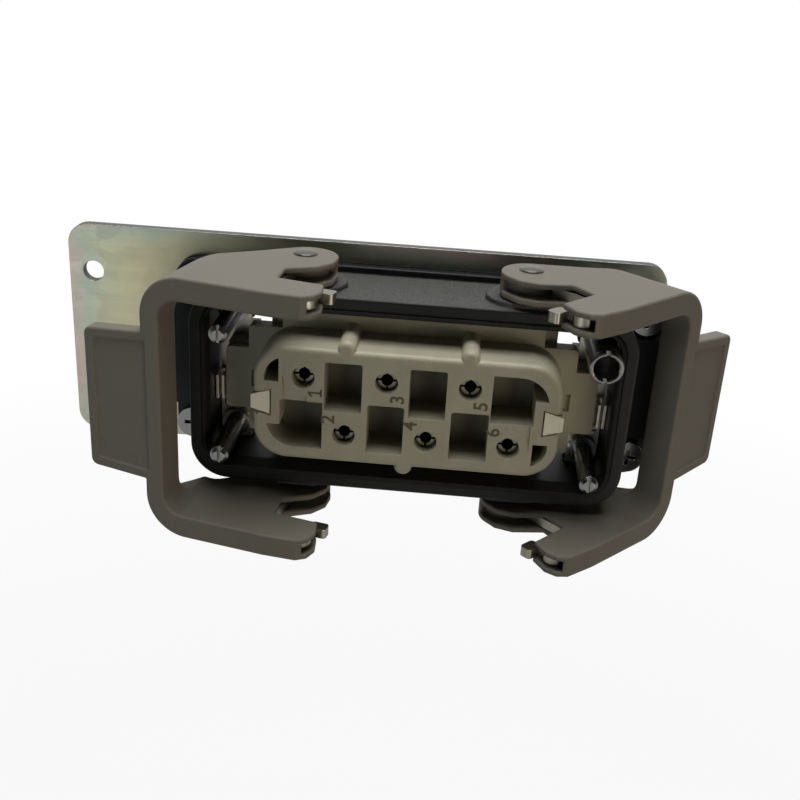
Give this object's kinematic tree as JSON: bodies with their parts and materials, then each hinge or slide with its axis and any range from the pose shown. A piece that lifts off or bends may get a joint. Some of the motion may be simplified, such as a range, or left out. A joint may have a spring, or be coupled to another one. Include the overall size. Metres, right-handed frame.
{
  "type": "heavy duty rectangular connector",
  "caption": "Heavy duty rectangular connector: bulkhead housing with locking levers and a screw-terminal insert, fixed to a plated mounting plate.",
  "frame": {"origin": "centre of the insert's contact face, on the connector's own centre line", "axes": "+X along the long side, +Z across the short side, -Y the mating direction, so the mounting plate's back looks along +Y"},
  "size_m": [0.1457, 0.0517, 0.0572],
  "materials": {
    "zinc_plate": "iridescent zinc plating",
    "black_shell": "satin",
    "seal_rubber": "matt",
    "insert_plastic": "matt",
    "contact_metal": "silver plated",
    "steel": "bright",
    "earth_metal": "plated",
    "lever_plastic": "matt"
  },
  "bodies": {
    "base": {"mounting_plate": "zinc_plate", "housing": "black_shell", "flange_gasket": "seal_rubber", "rim_seal": "seal_rubber", "insert_body": "insert_plastic", "insert_base": "insert_plastic", "contact_1": "contact_metal", "contact_2": "contact_metal", "contact_3": "contact_metal", "contact_4": "contact_metal", "contact_5": "contact_metal", "contact_6": "contact_metal", "terminal_screws": "steel", "pe_plate_left": "steel", "pe_plate_right": "steel", "pe_contact_left": "earth_metal", "pe_contact_right": "earth_metal", "pe_screws": "steel", "guide_pins": "steel", "guide_bush": "steel", "flange_screws": "steel", "flange_washers": "steel", "flange_nuts": "steel"},
    "left_lever": {"left_lever": "lever_plastic", "left_lever_clips": "steel"},
    "right_lever": {"right_lever": "lever_plastic", "right_lever_clips": "steel"}
  },
  "joints": [
    {"name": "left_lever_pivot", "type": "hinge", "parent": "base", "child": "left_lever", "pos_m": [-0.0232, 0.014, 0], "axis": [0, 0, 1], "range_deg": [-36, 13.8]},
    {"name": "right_lever_pivot", "type": "hinge", "parent": "base", "child": "right_lever", "pos_m": [0.0232, 0.014, 0], "axis": [0, 0, -1], "range_deg": [-6, 46.2]}
  ]
}
